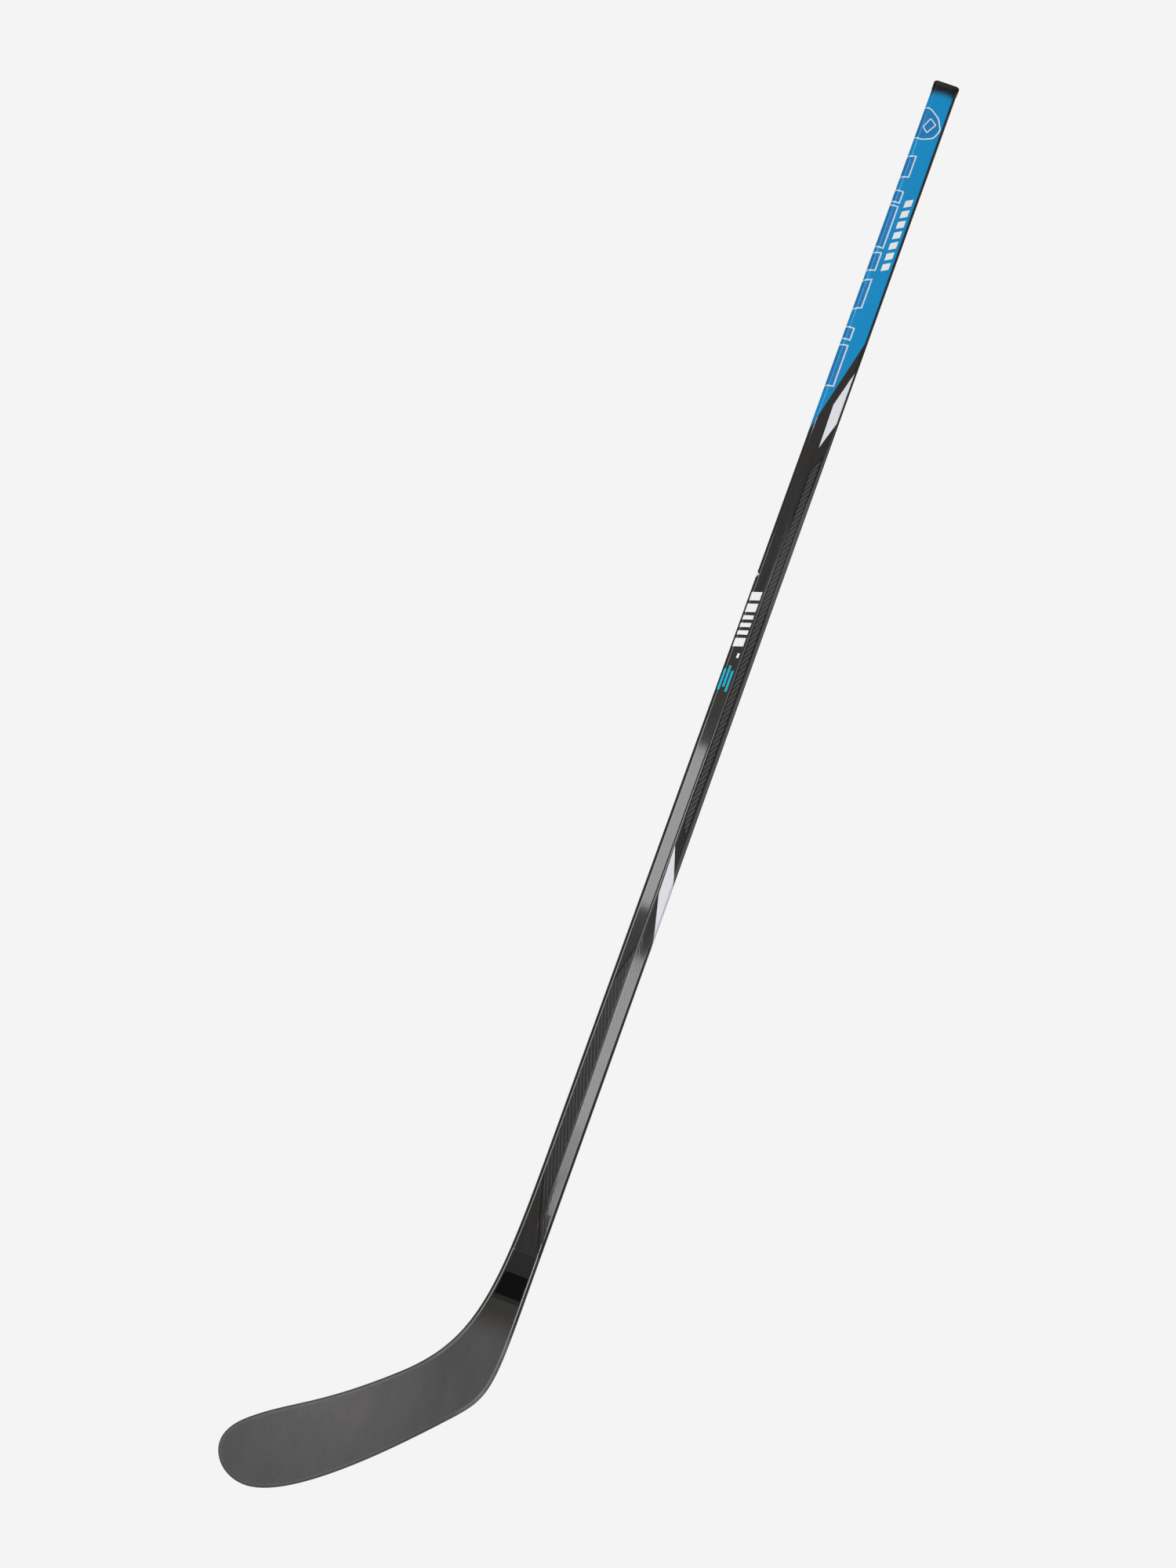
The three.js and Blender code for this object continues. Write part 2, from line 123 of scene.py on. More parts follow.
def search(holds, low, high, rounds):
    """The place between low and high where holds stops being true, found by halving."""
    for _ in range(rounds):
        middle = (low + high) / 2
        if holds(middle):
            low = middle
        else:
            high = middle
    return low


def add_object(name, data):
    new = bpy.data.objects.new(name, data)
    bpy.context.scene.collection.objects.link(new)
    return new


def make_piece(name, points, faces, material, replaces=()):
    """A mesh piece of the stick from points in millimetres, riding on its one body."""
    mesh = bpy.data.meshes.new(name)
    mesh.from_pydata([Vector(p) * MM for p in points], [], faces)
    mesh.validate()
    mesh.update()
    piece = add_object(name, mesh)
    for polygon in mesh.polygons:
        polygon.use_smooth = True
    mesh.set_sharp_from_angle(angle=SHARP_ANGLE)
    mesh.materials.append(MATERIALS[material])
    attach(piece, BODY)
    if replaces:
        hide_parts(*replaces)


def quads_between(first, second, count, flip=False):
    """Quads between two rings of equal length that start at the given points."""
    faces = []
    for j in range(count):
        k = (j + 1) % count
        quad = (first + j, first + k, second + k, second + j)
        faces.append(quad[::-1] if flip else quad)
    return faces


def tube_faces(rings, count, flip=False, start=0):
    """Quads along a row of rings of equal length."""
    faces = []
    for i in range(rings - 1):
        faces += quads_between(start + i * count, start + (i + 1) * count, count, flip)
    return faces


# -------------------- the shaft's surface


def ridge_x(z):
    return mix(RIDGE_TOP_X, RIDGE_LOW_X, smooth(-z, *RIDGE_TURN))


def facet_share(z):
    """How far the two front facets have come out of the flat face: 0 is flat, 1 is their full tilt."""
    start, full, fade, flat = FACET_Z
    return smooth(-z, start, full) * (1 - smooth(-z, fade, flat))


def shaft_half(z):
    return mix(HALF_THICK, THICK_SEAM / 2, smooth(-z, -TAPER_START_Z, -SEAM_Z))


@lru_cache(maxsize=None)
def section_path(z):
    """The shaft's section from the ridge towards +X and all the way round, as straight lines and arcs."""
    tilt = FACET_TILT * facet_share(z)
    half = shaft_half(z)
    left = front_edge_x(z)
    r = CORNER_R
    centre_left = left + r
    centre_right = HALF_WIDTH - r
    ridge = Vector((ridge_x(z), -half))

    def front_centre(x):
        reach = abs(x - ridge.x) + r * math.sin(tilt)
        return Vector((x, -half + reach * math.tan(tilt) + r * math.cos(tilt)))

    quarter = math.pi / 2
    arcs = [
        (front_centre(centre_right), 3 * quarter + tilt, 4 * quarter),
        (Vector((centre_right, half - r)), 0, quarter),
        (Vector((centre_left, half - r)), quarter, 2 * quarter),
        (front_centre(centre_left), 2 * quarter, 3 * quarter - tilt),
    ]
    path = []
    place = ridge
    for centre, start, end in arcs:
        first = centre + r * Vector((math.cos(start), math.sin(start)))
        path.append(("line", place, first, (first - place).length))
        path.append(("arc", centre, (start, end), r * (end - start)))
        place = centre + r * Vector((math.cos(end), math.sin(end)))
    path.append(("line", place, ridge, (ridge - place).length))
    return path


def perimeter(z):
    return sum(part[3] for part in section_path(z))


def on_section(z, distance):
    """The point at a distance round the section from the ridge, with the direction that faces out."""
    path = section_path(z)
    rest = distance % perimeter(z)
    for kind, a, b, length in path:
        if rest <= length + 1e-9:
            break
        rest -= length
    if kind == "line":
        way = (b - a).normalized()
        return a + way * rest, Vector((way.y, -way.x))
    angle = mix(b[0], b[1], rest / length)
    out = Vector((math.cos(angle), math.sin(angle)))
    return a + CORNER_R * out, out


def surface_point(distance, z, lift):
    """The point at a distance round the section from the ridge, moved out by lift."""
    place, out = on_section(z, distance)
    return (*(place + out * lift), z)


def round_distance(x, z, face):
    """The distance round the section of a place on the front (-1) or back (1) face.

    x is the place seen square on. Past the stick's edge it goes on down the side by the rest of x.
    """
    path = section_path(z)
    start = ridge_x(z)
    towards = 1 if x >= start else -1
    edge = HALF_WIDTH if towards > 0 else front_edge_x(z)
    reach = abs(x - start)
    corner = abs(edge - start) - CORNER_R
    turn = math.asin(min(1, max(0, (reach - corner) / CORNER_R)))
    if face < 0:
        flat, arc = (path[0], path[1]) if towards > 0 else (path[-1], path[-2])
        origin, lean, length, way = 0, math.pi / 2 - arc[3] / CORNER_R, flat[3], towards
    else:
        origin = sum(part[3] for part in path[:4]) + (path[4][1].x - start)
        lean, length, way = 0, corner, -towards
    if turn <= lean:
        along_face = reach / math.cos(lean)
    else:
        along_face = length + CORNER_R * (turn - lean) + max(0, reach - abs(edge - start))
    return origin + way * along_face


# -------------------- the blade's outline

along = Vector((-math.cos(LIE), -math.sin(LIE)))  # heel to toe, in the XZ plane
across = Vector((-math.sin(LIE), math.cos(LIE)))  # lower edge to upper edge
heel = Vector((HALF_WIDTH, HEEL_Z))


def knot(u, v, degrees, before, after):
    """A point of the outline, with the handles before and after it, in the blade's own directions."""
    angle = math.radians(degrees)
    place = heel + along * u + across * v
    way = along * math.cos(angle) + across * math.sin(angle)
    return place - way * before, place, place + way * after


def bezier(start, end, share):
    """A point of the curve that leaves one knot and arrives at the next."""
    a, b, c, d = start[1], start[2], end[0], end[1]
    rest = 1 - share
    return (a * rest**3 + b * (3 * rest**2 * share) + c * (3 * rest * share**2) + d * share**3)


back_edge_end = (None, Vector((HALF_WIDTH, HEEL_Z + 87)), Vector((HALF_WIDTH, HEEL_Z)))
heel_end = knot(46, -9.4, -5, 38, 47)
sole_end = knot(244, 4.5, 34, 48.5, 16.5)
toe_tip = knot(262.8, 41.5, 97, 13, 21)
top_start = knot(228, 64.7, 181.5, 12.8, 42.5)
throat_end = knot(77.5, 50, 180, 86.5, 80)
flare_start = (Vector((-HALF_WIDTH, HEEL_Z + 92)), Vector((-HALF_WIDTH, HEEL_Z + 260)), None)


@lru_cache(maxsize=None)
def front_edge_x(z):
    """The edge towards -X at height z: straight, then flaring into the blade's throat."""
    if z > flare_start[1].y:
        return -HALF_WIDTH
    share = search(lambda share: bezier(throat_end, flare_start, share).y < z, 0.0, 1.0, 40)
    return bezier(throat_end, flare_start, share).x


def spaced(points, count):
    """Points at equal steps of length along a line of points."""
    lengths = [0.0]
    for a, b in zip(points, points[1:]):
        lengths.append(lengths[-1] + (b - a).length)
    found = []
    k = 0
    for wanted in spread(0, lengths[-1], count):
        while k < len(points) - 2 and lengths[k + 1] < wanted:
            k += 1
        share = (wanted - lengths[k]) / (lengths[k + 1] - lengths[k])
        found.append(points[k].lerp(points[k + 1], share))
    return found


def curve(start, end, count=200):
    return [bezier(start, end, share) for share in spread(0, 1, count)]


def make_outline():
    """Round the blade from the back of the seam: back edge, heel, sole, toe, top edge and throat."""
    back_edge = [Vector((HALF_WIDTH, z)) for z in spread(SEAM_Z, back_edge_end[1].y, LINE_STEPS)]
    throat = [p for p in curve(throat_end, flare_start) if p.y < SEAM_Z][::-1]
    seam_front = Vector((front_edge_x(SEAM_Z), SEAM_Z))
    lower = back_edge[:-1]
    lower += spaced(curve(back_edge_end, heel_end), HOSEL_STEPS - LINE_STEPS)[:-1]
    lower += spaced(curve(heel_end, sole_end), BLADE_STEPS)
    upper = spaced([seam_front, *throat], HOSEL_STEPS)[:-1]
    upper += spaced(curve(top_start, throat_end), BLADE_STEPS)[::-1]
    nose = spaced(curve(sole_end, toe_tip)[:-1] + curve(toe_tip, top_start), ACROSS)
    return lower + nose[1:-1] + upper[::-1]


border = make_outline()


@lru_cache(maxsize=None)
def inset_outline(distance):
    """The outline moved in by a distance."""
    last = len(border) - 1
    moved = []
    for k, p in enumerate(border):
        way = (border[min(k + 1, last)] - border[max(k - 1, 0)]).normalized()
        moved.append(Vector((p.x + way.y * distance, p.y - way.x * distance)))
    return moved


def rib_of(k):
    """The rib that a point of the outline belongs to."""
    return k if k <= RIBS else min(RIBS, len(border) - 1 - k)


# -------------------- the blade's surfaces


def middle_y(p):
    """How far the middle of the blade stands from the shaft's plane."""
    offset = p - heel
    u = offset.dot(along)
    bend = max(0, (u - BEND_START) / BEND_LENGTH) ** BEND_POWER
    return TOE_OPEN * max(0, u / OPEN_LENGTH) * offset.dot(across) - TOE_BEND * bend


def half_thickness(rib):
    share = rib / RIBS
    hosel = smooth(share, 0, 0.42)
    return 0.5 * mix(mix(THICK_SEAM, THICK_HEEL, hosel), THICK_TOE, smooth(share, 0.35, 1))


def edge_radius(rib):
    return min(CORNER_R, 0.8 * half_thickness(rib))


def plan_point(path, rib, share):
    """The point of the blade's plan at a whole rib and a share of the way up it."""
    k = int(rib)
    straight = path[k].lerp(path[len(path) - 1 - k], share)
    bow = max(0, (k - HOSEL_STEPS) / BLADE_STEPS) ** 2
    place = share * ACROSS
    j = min(ACROSS - 1, int(place))
    nose = path[RIBS + j].lerp(path[RIBS + j + 1], place - j)
    return straight + (nose - path[RIBS].lerp(path[RIBS + ACROSS], share)) * bow


def face_point(path, rib, share, side, lift):
    """A point of the blade's front (-1) or back (1) face at any rib, moved out by lift."""
    low = min(int(rib), RIBS - 1)
    p = plan_point(path, low, share).lerp(plan_point(path, low + 1, share), rib - low)
    return (p.x, middle_y(p) + side * (half_thickness(rib) + lift), p.y)


def slab_faces(rows, columns, flip=False):
    """Faces of the closed space between two grids of points with the same layout."""
    shift = rows * columns
    faces = []
    for i in range(rows - 1):
        for j in range(columns - 1):
            a, b = i * columns + j, (i + 1) * columns + j
            faces.append((a, b, b + 1, a + 1))
            faces.append((a + shift, a + 1 + shift, b + 1 + shift, b + shift))
    rim = [i * columns for i in range(rows)]
    rim += [(rows - 1) * columns + j for j in range(1, columns)]
    rim += [i * columns + columns - 1 for i in range(rows - 2, -1, -1)]
    rim += [j for j in range(columns - 2, 0, -1)]
    for a, b in around(rim):
        faces.append((b, a, a + shift, b + shift))
    return [face[::-1] for face in faces] if flip else faces


# -------------------- materials


def blank_material(name, colour, roughness, specular=0.5, coat=0.0, coat_roughness=0.03, glow=0.0):
    material = bpy.data.materials.new(name)
    material.use_nodes = True
    for socket, value in (
        ("Base Color", (*colour, 1)),
        ("Roughness", roughness),
        ("Specular IOR Level", specular),
        ("Coat Weight", coat),
        ("Coat Roughness", coat_roughness),
        ("Emission Strength", glow),
    ):
        material.node_tree.nodes["Principled BSDF"].inputs[socket].default_value = value
    return material


def add_node(material, kind, inputs=None, **settings):
    """A node of a material or a world, with its settings, its values and its links given in one go."""
    tree = material.node_tree
    node = tree.nodes.new(kind)
    for key, value in settings.items():
        setattr(node, key, value)
    for key, value in (inputs or {}).items():
        socket = node.inputs[key]
        if isinstance(value, bpy.types.NodeSocket):
            tree.links.new(value, socket)
        else:
            socket.default_value = value
    return node


def object_place(material):
    """The place on the object itself, in metres."""
    return add_node(material, "ShaderNodeTexCoord").outputs["Object"]


def mapped_place(material, stretch, turn):
    inputs = {"Vector": object_place(material), "Scale": stretch, "Rotation": turn}
    return add_node(material, "ShaderNodeMapping", inputs).outputs[0]


def noise(material, scale, stretch=(1, 1, 1), detail=3.0, roughness=0.5, turn=(0, 0, 0)):
    inputs = {
        "Vector": mapped_place(material, stretch, turn),
        "Scale": scale,
        "Detail": detail,
        "Roughness": roughness,
    }
    return add_node(material, "ShaderNodeTexNoise", inputs).outputs["Fac"]


def wave(material, pitch, angle, distortion=0.0):
    """Straight lines across the object, a pitch apart in millimetres and turned by an angle in degrees."""
    inputs = {
        "Vector": mapped_place(material, (1, 1, 1), (0, math.radians(angle), 0)),
        "Scale": math.pi / 10 / (pitch * MM),
        "Distortion": distortion,
    }
    settings = {"wave_type": "BANDS", "bands_direction": "X", "wave_profile": "SIN"}
    return add_node(material, "ShaderNodeTexWave", inputs, **settings).outputs["Fac"]


def ramp(material, value, colours, low=0.3, high=0.7):
    """Colours spread over a part of a value's range, which is by default where noise mostly lies."""
    node = add_node(material, "ShaderNodeValToRGB", {"Fac": value})
    elements = node.color_ramp.elements
    while len(elements) < len(colours):
        elements.new(0.5)
    for k, colour in enumerate(colours):
        elements[k].position = mix(low, high, k / (len(colours) - 1))
        elements[k].color = (*colour, 1)
    return node.outputs["Color"]


def grey(level):
    return (level, level, level)


def greys(*levels):
    return [grey(level) for level in levels]


def maths(material, operation, a, b):
    return add_node(material, "ShaderNodeMath", {0: a, 1: b}, operation=operation).outputs[0]


def soft_range(material, value, low, high, at_low, at_high):
    """A value that changes softly from at_low to at_high while another goes from low to high."""
    inputs = {"Value": value, 1: low, 2: high, 3: at_low, 4: at_high}
    node = add_node(material, "ShaderNodeMapRange", inputs, interpolation_type="SMOOTHSTEP")
    return node.outputs[0]


def with_alpha(value):
    return value if isinstance(value, bpy.types.NodeSocket) else (*value, 1)


def blend_colours(material, share, a, b, mode="MIX"):
    inputs = {0: share, 6: with_alpha(a), 7: with_alpha(b)}
    return add_node(material, "ShaderNodeMix", inputs, data_type="RGBA", blend_type=mode).outputs[2]


def feed(material, socket, value):
    shader = material.node_tree.nodes["Principled BSDF"]
    material.node_tree.links.new(value, shader.inputs[socket])


def feed_bump(material, height, strength, depth):
    """Bump in the shader and its clear coat. Depth is in millimetres."""
    inputs = {"Height": height, "Strength": strength, "Distance": depth * MM}
    feed(material, "Normal", add_node(material, "ShaderNodeBump", inputs).outputs[0])


def shade(colour, share):
    return tuple(c * share for c in colour)


def height_share(material, top, bottom):
    """1 above one height of the stick and 0 below another, with a soft change between them."""
    height = add_node(material, "ShaderNodeSeparateXYZ", {0: object_place(material)}).outputs["Z"]
    return soft_range(material, height, bottom * MM, top * MM, 0.0, 1.0)


def near_share(material, place, near, far):
    """1 close to a place and 0 far from it, with a soft change between the two distances."""
    inputs = {0: object_place(material), 1: place}
    way = add_node(material, "ShaderNodeVectorMath", inputs, operation="DISTANCE").outputs["Value"]
    return soft_range(material, way, near, far, 1.0, 0.0)


def laminate_material():
    """Near-black clear-coated laminate with fine lengthwise fibre."""
    base = (0.011, 0.0098, 0.009)
    material = blank_material("shaft_laminate", base, 0.3, specular=0.08, coat=0.9, coat_roughness=0.05)
    fibre = noise(material, 900, (1, 1, 0.02), 4)
    cloud = noise(material, 18, (1, 1, 0.25), 2)
    ground = ramp(material, cloud, [shade(base, 0.6), base], 0.35, 0.65)
    feed(material, "Base Color", blend_colours(material, fibre, ground, shade(base, 1.7)))
    feed(material, "Roughness", ramp(material, fibre, greys(0.24, 0.36)))
    feed_bump(material, noise(material, 420, (1, 1, 0.22), 2), 0.4, 0.12)
    return material


FADE_Z = (66.0, 53.5)  # the lacquer comes out of black between these heights
FADE_ARC = 14.0  # how strongly the fade curves down at the edges


def lacquer_material():
    """Blue lacquer with a fine lengthwise grain, which fades out of black just below the cap."""
    base = (0.002, 0.248, 0.540)
    black = (0.008, 0.009, 0.011)
    material = blank_material("blue_lacquer", base, 0.35, specular=0.05, coat=0.28, coat_roughness=0.1)
    grain = noise(material, 1300, (1, 1, 0.012), 3)
    cloud = noise(material, 25, (1, 1, 0.3), 2)
    ground = ramp(material, cloud, [shade(base, 0.82), shade(base, 0.95)])
    share = maths(material, "MULTIPLY", grain, 0.9)
    colour = blend_colours(material, share, ground, shade(base, 1.12))
    axes = add_node(material, "ShaderNodeSeparateXYZ", {0: object_place(material)}).outputs
    square = maths(material, "POWER", axes["X"], 2.0)
    height = maths(material, "ADD", axes["Z"], maths(material, "MULTIPLY", square, FADE_ARC))
    blue_share = soft_range(material, height, FADE_Z[1] * MM, FADE_Z[0] * MM, 1.0, 0.0)
    feed(material, "Base Color", blend_colours(material, blue_share, black, colour))
    feed_bump(material, grain, 0.03, 0.02)
    return material


def ink_material(name, colour, roughness=0.35, gloss=0.4):
    """Printed ink under the clear coat, with a faint cloudiness and the laminate's grain."""
    material = blank_material(name, colour, roughness, specular=0.5 * gloss, coat=gloss, coat_roughness=0.1)
    cloud = noise(material, 60, (1, 1, 0.2), 3)
    feed(material, "Base Color", ramp(material, cloud, [shade(colour, 0.93), colour]))
    feed_bump(material, noise(material, 1100, (1, 1, 0.03), 2), 0.05, 0.02)
    return material


def slanted_tow_material(name, dark, light, pitch, angle, gloss, roughness=0.35):
    """Tows that lie side by side on one slant, each with a soft dark edge."""
    material = blank_material(name, dark, roughness, specular=0.5 * gloss, coat=gloss, coat_roughness=0.14)
    tows = wave(material, pitch, angle, 0.6)
    fibre = noise(material, 700, (1, 1, 0.3), 3)
    level = maths(material, "MULTIPLY", tows, maths(material, "ADD", fibre, 0.5))
    feed(material, "Base Color", ramp(material, level, [dark, light], 0.2, 0.75))
    feed_bump(material, tows, 0.3, 0.06)
    return material


HOSEL_FADE = (-1374, -1412)  # the hosel's dark gloss turns into the blade's matte grey
HOSEL_BASE = (0.016, 0.0145, 0.013)
BLADE_BASE = (0.084, 0.0805, 0.079)
# Centre of the painted light on the blade's middle
PAINTED_LIGHT_MIDDLE = (-0.135, 0, -1.495)  # in metres
# Centre of the painted highlight on the braid at the heel
HEEL_HIGHLIGHT_PLACE = (HALF_WIDTH * MM, 0, (HEEL_Z + 12) * MM)


def blade_painted_light(material):
    """Painted light: the blade's middle is painted a little lighter than its heel and toe, where light falls
    on it.
    """
    return ramp(material, near_share(material, PAINTED_LIGHT_MIDDLE, 0.015, 0.12), greys(0.57, 0.92), 0.0, 1.0)


def tint(material, colour, by):
    return blend_colours(material, 1.0, colour, by, "MULTIPLY")


def blade_material():
    """Matte blade laminate: dark grey, faintly mottled on the slant, with painted light that makes its
    middle lighter than its heel and toe.
    """
    material = blank_material("blade_laminate", BLADE_BASE, 0.5, specular=0.25)
    slant = (0, math.radians(-35), 0)
    mottle = noise(material, 55, (1, 1, 0.35), 4, 0.6, slant)
    speck = noise(material, 700, (1, 1, 0.6), 3, 0.6, slant)
    mottled = [shade(BLADE_BASE, 0.86), shade(BLADE_BASE, 1.06)]
    colour = ramp(material, mottle, mottled)
    colour = tint(material, colour, ramp(material, speck, greys(0.82, 1.0)))
    # Painted light: the middle lighter, the heel and toe darker
    colour = tint(material, colour, blade_painted_light(material))
    share = height_share(material, *HOSEL_FADE)
    feed(material, "Base Color", blend_colours(material, share, colour, HOSEL_BASE))
    feed(material, "Roughness", ramp(material, share, greys(0.5, 0.3), 0.0, 1.0))
    feed_bump(material, speck, 0.2, 0.06)
    return material


def edge_material():
    """The braid round the blade: as dark and glossy as the shaft at its top, with a painted highlight that
    makes it lighter at the heel.
    """
    material = blank_material("edge_braid", BLADE_BASE, 0.42, specular=0.3, coat_roughness=0.08)
    # Noise for the braid's random tone and for the patches of its painted highlight
    tone_and_highlight_noise = noise(material, 45, (1, 1, 1), 5, 0.65)
    weave = wave(material, 1.6, 20, 1.5)
    plain = [shade(BLADE_BASE, level) for level in (0.98, 1.08)]
    heel_highlight_colours = [shade(BLADE_BASE, level) for level in (1.15, 1.5, 2.2)]
    # The braid gets the same painted light as the blade: its middle lighter, its heel and toe darker
    colour = tint(material, ramp(material, tone_and_highlight_noise, plain, 0.35, 0.65), blade_painted_light(material))
    # Painted highlight: lighter patches on the braid near the heel
    heel_highlight_share = near_share(material, HEEL_HIGHLIGHT_PLACE, 0.03, 0.075)
    colour = blend_colours(material, heel_highlight_share, colour, ramp(material, tone_and_highlight_noise, heel_highlight_colours, 0.35, 0.65))
    colour = tint(material, colour, ramp(material, weave, greys(0.86, 1.0), 0.0, 1.0))
    share = height_share(material, *HOSEL_FADE)
    feed(material, "Base Color", blend_colours(material, share, colour, HOSEL_BASE))
    feed(material, "Roughness", ramp(material, share, greys(0.42, 0.25), 0.0, 1.0))
    feed(material, "Coat Weight", share)
    feed_bump(material, weave, 0.12, 0.04)
    return material


def grainy_material(name, dark, light, scale, roughness, bump, depth, stretch=(1, 1, 1), gloss=0.5):
    """A material whose colour and height both follow one noise."""
    material = blank_material(name, dark, roughness, specular=gloss)
    grain = noise(material, scale, stretch, 4, 0.6)
    feed(material, "Base Color", ramp(material, grain, [dark, light]))
    feed_bump(material, grain, bump, depth)
    return material


MATERIALS = {
    "laminate": laminate_material(),
    "lacquer": lacquer_material(),
    "deep_blue": ink_material("deep_blue_ink", (0.003, 0.190, 0.48), gloss=0.2),
    "outline": ink_material("outline_ink", (0.62, 0.70, 0.74)),
    "white": ink_material("white_ink", (0.80, 0.81, 0.83)),
    "cyan": ink_material("cyan_ink", (0.0, 0.41, 0.58), gloss=0.15),
    "silver": ink_material("silver_ink", (0.73, 0.745, 0.785), 0.4, 0.2),
    "line": ink_material("black_line", grey(0.004), 0.5, gloss=0.1),
    "twill": slanted_tow_material("spine_twill", grey(0.004), (0.046, 0.044, 0.041), 3.4, -28, 0.4),
    "ply": slanted_tow_material("ply_band", grey(0.009), (0.026, 0.025, 0.024), 1.1, 60, 0.35),
    "ply_gloss": slanted_tow_material(
        "ply_band_gloss", grey(0.010), (0.022, 0.021, 0.020), 1.1, 60, 0.62, 0.3
    ),
    "ply_ground": grainy_material(
        "ply_ground", grey(0.003), (0.007, 0.0065, 0.006), 400, 0.4, 0.2, 0.04, (1, 1, 0.2), 0.15
    ),
    "etch": slanted_tow_material("etched_band", grey(0.006), (0.019, 0.018, 0.017), 1.2, 6, 0.1, 0.5),
    "blade": blade_material(),
    "edge": edge_material(),
    "patch": grainy_material("patch_film", grey(0.003), grey(0.005), 900, 0.7, 0.2, 0.03, gloss=0.01),
    "rubber": grainy_material(
        "cap_rubber", (0.003, 0.003, 0.0033), (0.008, 0.008, 0.009), 1400, 0.4, 0.3, 0.05, gloss=0.15
    ),
    "foam": grainy_material("core_foam", (0.60, 0.56, 0.46), (0.78, 0.74, 0.63), 1200, 0.9, 0.6, 0.3),
    "glue": grainy_material("adhesive", (0.42, 0.27, 0.09), (0.58, 0.40, 0.17), 220, 0.3, 0.2, 0.1),
    "core": grainy_material(
        "core_laminate", (0.025, 0.025, 0.027), (0.06, 0.06, 0.062), 600, 0.5, 0.3, 0.08, (1, 1, 0.1)
    ),
}

# -------------------- the shaft

# Distance from the ridge and height of the fine groove and bead that run down it
RIDGE_PROFILE = (
    (-1.3, 0.0), (-1.0, 0.0), (-0.75, 0.0), (-0.6, -0.16), (-0.3, -0.2), (0.1, -0.24), (0.7, -0.17),
    (0.8, -0.16), (0.9, -0.11), (1.3, 0.09), (1.45, 0.13), (1.6, 0.13), (2.5, 0.0), (2.8, 0.0),
)
SUPPORT = 0.3  # loops this close to each corner keep the flats flat


def ring_places(z):
    """Distances round the section for one ring of the shaft, with the height of the ridge's profile."""
    share = facet_share(z)
    path = section_path(z)
    places = [(d, h * share) for d, h in RIDGE_PROFILE if d >= 0]
    start = 0.0
    for k, (kind, _, _, length) in enumerate(path):
        steps = [SUPPORT, length / 2, length - SUPPORT]
        if kind == "arc":
            steps = spread(0, length, ARC_STEPS)
        elif k == 0:
            steps = steps[1:]
        elif k == len(path) - 1:
            steps = steps[:-1]
        places += [(start + d, 0.0) for d in steps]
        start += length
    places += [(d, h * share) for d, h in RIDGE_PROFILE if d < 0]
    return places


def shaft_ring(z, inset=0.0):
    return [surface_point(distance, z, height - inset) for distance, height in ring_places(z)]


def make_shaft():
    """The hollow tube from the cap to the blade's seam."""
    rows = round((TUBE_TOP - SEAM_Z) / ROW)
    heights = spread(TUBE_TOP, SEAM_Z, rows)
    outer = [shaft_ring(z) for z in heights]
    inner = [shaft_ring(z, WALL) for z in heights]
    count = len(outer[0])
    shift = len(outer) * count
    last = shift - count
    faces = tube_faces(len(outer), count, flip=True)
    faces += tube_faces(len(inner), count, start=shift)
    faces += quads_between(0, shift, count)
    faces += quads_between(last, last + shift, count, flip=True)
    points = [p for ring in outer + inner for p in ring]
    make_piece("shaft_body", points, faces, "laminate", ["shaft_tube"])


# -------------------- thin inlays that follow the shaft

EMBED = 0.05  # how deep an inlay's underside lies in the surface
FILM_STEP = 0.8  # widest step of a film round the section
FILL_STEP = 12.0  # longest step of a filled shape down the shaft
STROKE_STEP = 8.0  # longest step of a line down the shaft
SHARPEST = 0.45  # keeps a line's sharp corners from running far out

# How far each film stands out of the laminate, so that those on top hide those below
PLY_GROUND_LIFT = 0.03
WINDOW_LIFT = 0.05
LACQUER_LIFT = 0.06
FLASH_LIFT = 0.07
MARK_LIFT = 0.08
DEEP_BLUE_LIFT = 0.09
OUTLINE_LIFT = 0.12


def add_film(points, faces, flat, cells, lift):
    """Adds one closed film to points and faces, from a flat shape on the unrolled shaft."""
    base = len(points)
    count = len(flat)
    points += [surface_point(distance, z, out) for out in (lift, -EMBED) for distance, z in flat]
    edges = {}
    for cell in cells:
        faces.append(tuple(base + v for v in cell))
        faces.append(tuple(base + count + v for v in cell[::-1]))
        for a, b in around(cell):
            edges[(a, b)] = True
    for a, b in edges:
        if (b, a) not in edges:
            faces.append((base + b, base + a, base + count + a, base + count + b))


def on_front(path):
    """A path on the front face as places round the section and up the shaft."""
    return [(round_distance(x, z, -1), z) for x, z in path]


def on_back(path):
    """The same for a path on the back face."""
    return [(round_distance(x, z, 1), z) for x, z in path]


def round_left(path, drop=0.0):
    """A closed shape over the left side, from a path on the front to the same on the back, lower by drop."""
    back = [(round_distance(x, z - drop, 1) - perimeter(z - drop), z - drop) for x, z in path]
    return on_front(path) + back[::-1]


def finely(path, closed, step):
    """The path with points close enough together to follow the rounded corners."""
    fine = []
    for (d1, z1), (d2, z2) in around(path) if closed else zip(path, path[1:]):
        count = max(1, math.ceil(max(abs(d2 - d1) / FILM_STEP, abs(z2 - z1) / step)))
        fine += [Vector((mix(d1, d2, k / count), mix(z1, z2, k / count))) for k in range(count)]
    return fine if closed else fine + [Vector(path[-1])]


def inside(point, polygon):
    """Whether a flat point is inside a polygon, by counting crossings."""
    x, z = point
    found = False
    for (x1, z1), (x2, z2) in around(polygon):
        if (z1 > z) != (z2 > z) and x < (x2 - x1) * (z - z1) / (z2 - z1) + x1:
            found = not found
    return found


